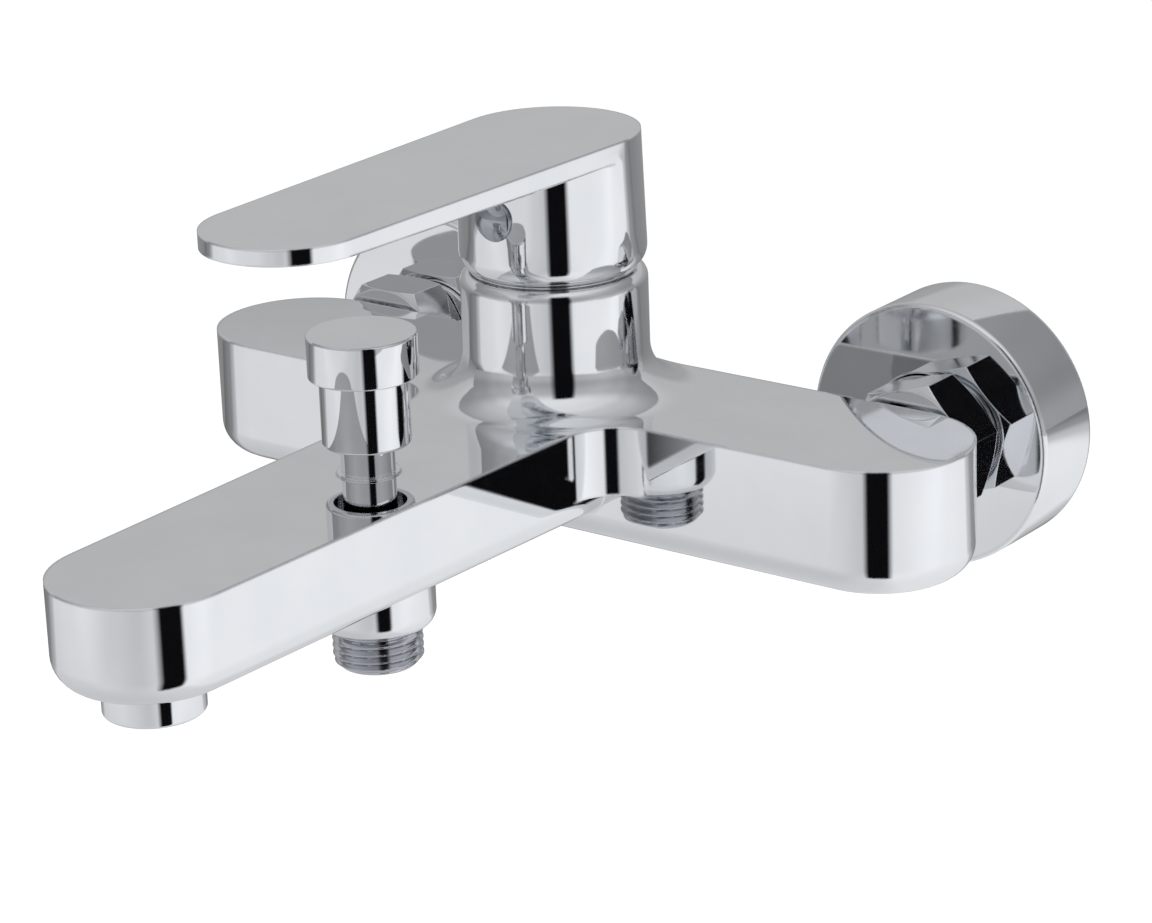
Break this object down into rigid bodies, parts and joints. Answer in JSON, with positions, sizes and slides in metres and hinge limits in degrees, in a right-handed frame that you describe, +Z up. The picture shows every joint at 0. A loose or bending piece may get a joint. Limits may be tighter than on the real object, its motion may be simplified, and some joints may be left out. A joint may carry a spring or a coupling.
{
  "type": "bath faucet",
  "caption": "Wall mounted bath and shower mixer with a flat lift and turn lever, a pull-up diverter knob, a bath spout and a threaded shower outlet.",
  "frame": {"origin": "on the finished wall, midway between the axes of the two wall inlets", "axes": "+Z up, +X to the right for a person facing the wall, -Y out of the wall towards the user"},
  "size_m": [0.2172, 0.2477, 0.1096],
  "materials": {
    "body_chrome": "bright chrome plate on cast brass, mirror polished",
    "flange_chrome": "bright chrome plate on pressed metal, mirror polished",
    "nut_chrome": "bright chrome plate on turned brass",
    "lever_chrome": "bright chrome plate on die cast metal, mirror polished",
    "trim_chrome": "bright chrome plate on turned brass, mirror polished",
    "union_chrome": "chrome plate on turned brass, with machining marks",
    "nut_brass": "turned brass, uncoated",
    "steel": "turned stainless steel",
    "cartridge_plastic": "white acetal",
    "aerator_plastic": "grey plastic with a fine grid",
    "ceramic": "ground alumina ceramic",
    "seal_rubber": "black EPDM rubber"
  },
  "bodies": {
    "root": {"faucet_body": "body_chrome", "left_inlet_nipple": "union_chrome", "left_union_washer": "seal_rubber", "left_union_nut": "nut_chrome", "left_eccentric_union": "union_chrome", "left_wall_flange": "flange_chrome", "left_flange_o_ring": "seal_rubber", "right_inlet_nipple": "union_chrome", "right_union_washer": "seal_rubber", "right_union_nut": "nut_chrome", "right_eccentric_union": "union_chrome", "right_wall_flange": "flange_chrome", "right_flange_o_ring": "seal_rubber", "cartridge_housing": "cartridge_plastic", "cartridge_port_seals": "seal_rubber", "fixed_ceramic_disc": "ceramic", "cartridge_retaining_nut": "nut_brass", "cartridge_shroud": "trim_chrome", "diverter_bonnet": "trim_chrome", "bonnet_o_ring": "seal_rubber", "diverter_spring": "steel", "shower_outlet_nipple": "trim_chrome", "aerator_housing": "trim_chrome", "aerator_insert": "aerator_plastic", "aerator_washer": "seal_rubber"},
    "turning_head": {"turning_guide": "cartridge_plastic", "spindle_pivot_pin": "steel"},
    "lever": {"lever_handle": "lever_chrome", "lever_set_screw": "steel", "indicator_plug": "trim_chrome", "cartridge_spindle": "steel"},
    "disc_carriage": {"moving_ceramic_disc": "ceramic", "disc_carrier": "cartridge_plastic"},
    "diverter": {"diverter_knob": "trim_chrome", "diverter_rod": "steel", "diverter_seal": "seal_rubber", "diverter_seal_nut": "steel"}
  },
  "joints": [
    {"name": "lever_turn", "type": "hinge", "parent": "root", "child": "turning_head", "pos_m": [0, -0.067, 0.0428], "axis": [0, 0, 1], "range_deg": [-50, 50]},
    {"name": "lever_lift", "type": "hinge", "parent": "turning_head", "child": "lever", "pos_m": [0, -0.067, 0.027], "axis": [-1, 0, 0], "range_deg": [0, 20]},
    {"name": "disc_slide", "type": "slide", "parent": "turning_head", "child": "disc_carriage", "axis": [0, -1, 0], "range_m": [0, 0.0029]},
    {"name": "diverter_pull", "type": "slide", "parent": "root", "child": "diverter", "axis": [0, 0, 1], "range_m": [0, 0.007], "stiffness_N_per_m": 120, "springref_m": -0.012, "deforming": ["diverter_spring"]}
  ],
  "couplings": [
    {"joint": "disc_slide", "follows": "lever_lift", "m_per_rad": 0.00795}
  ]
}
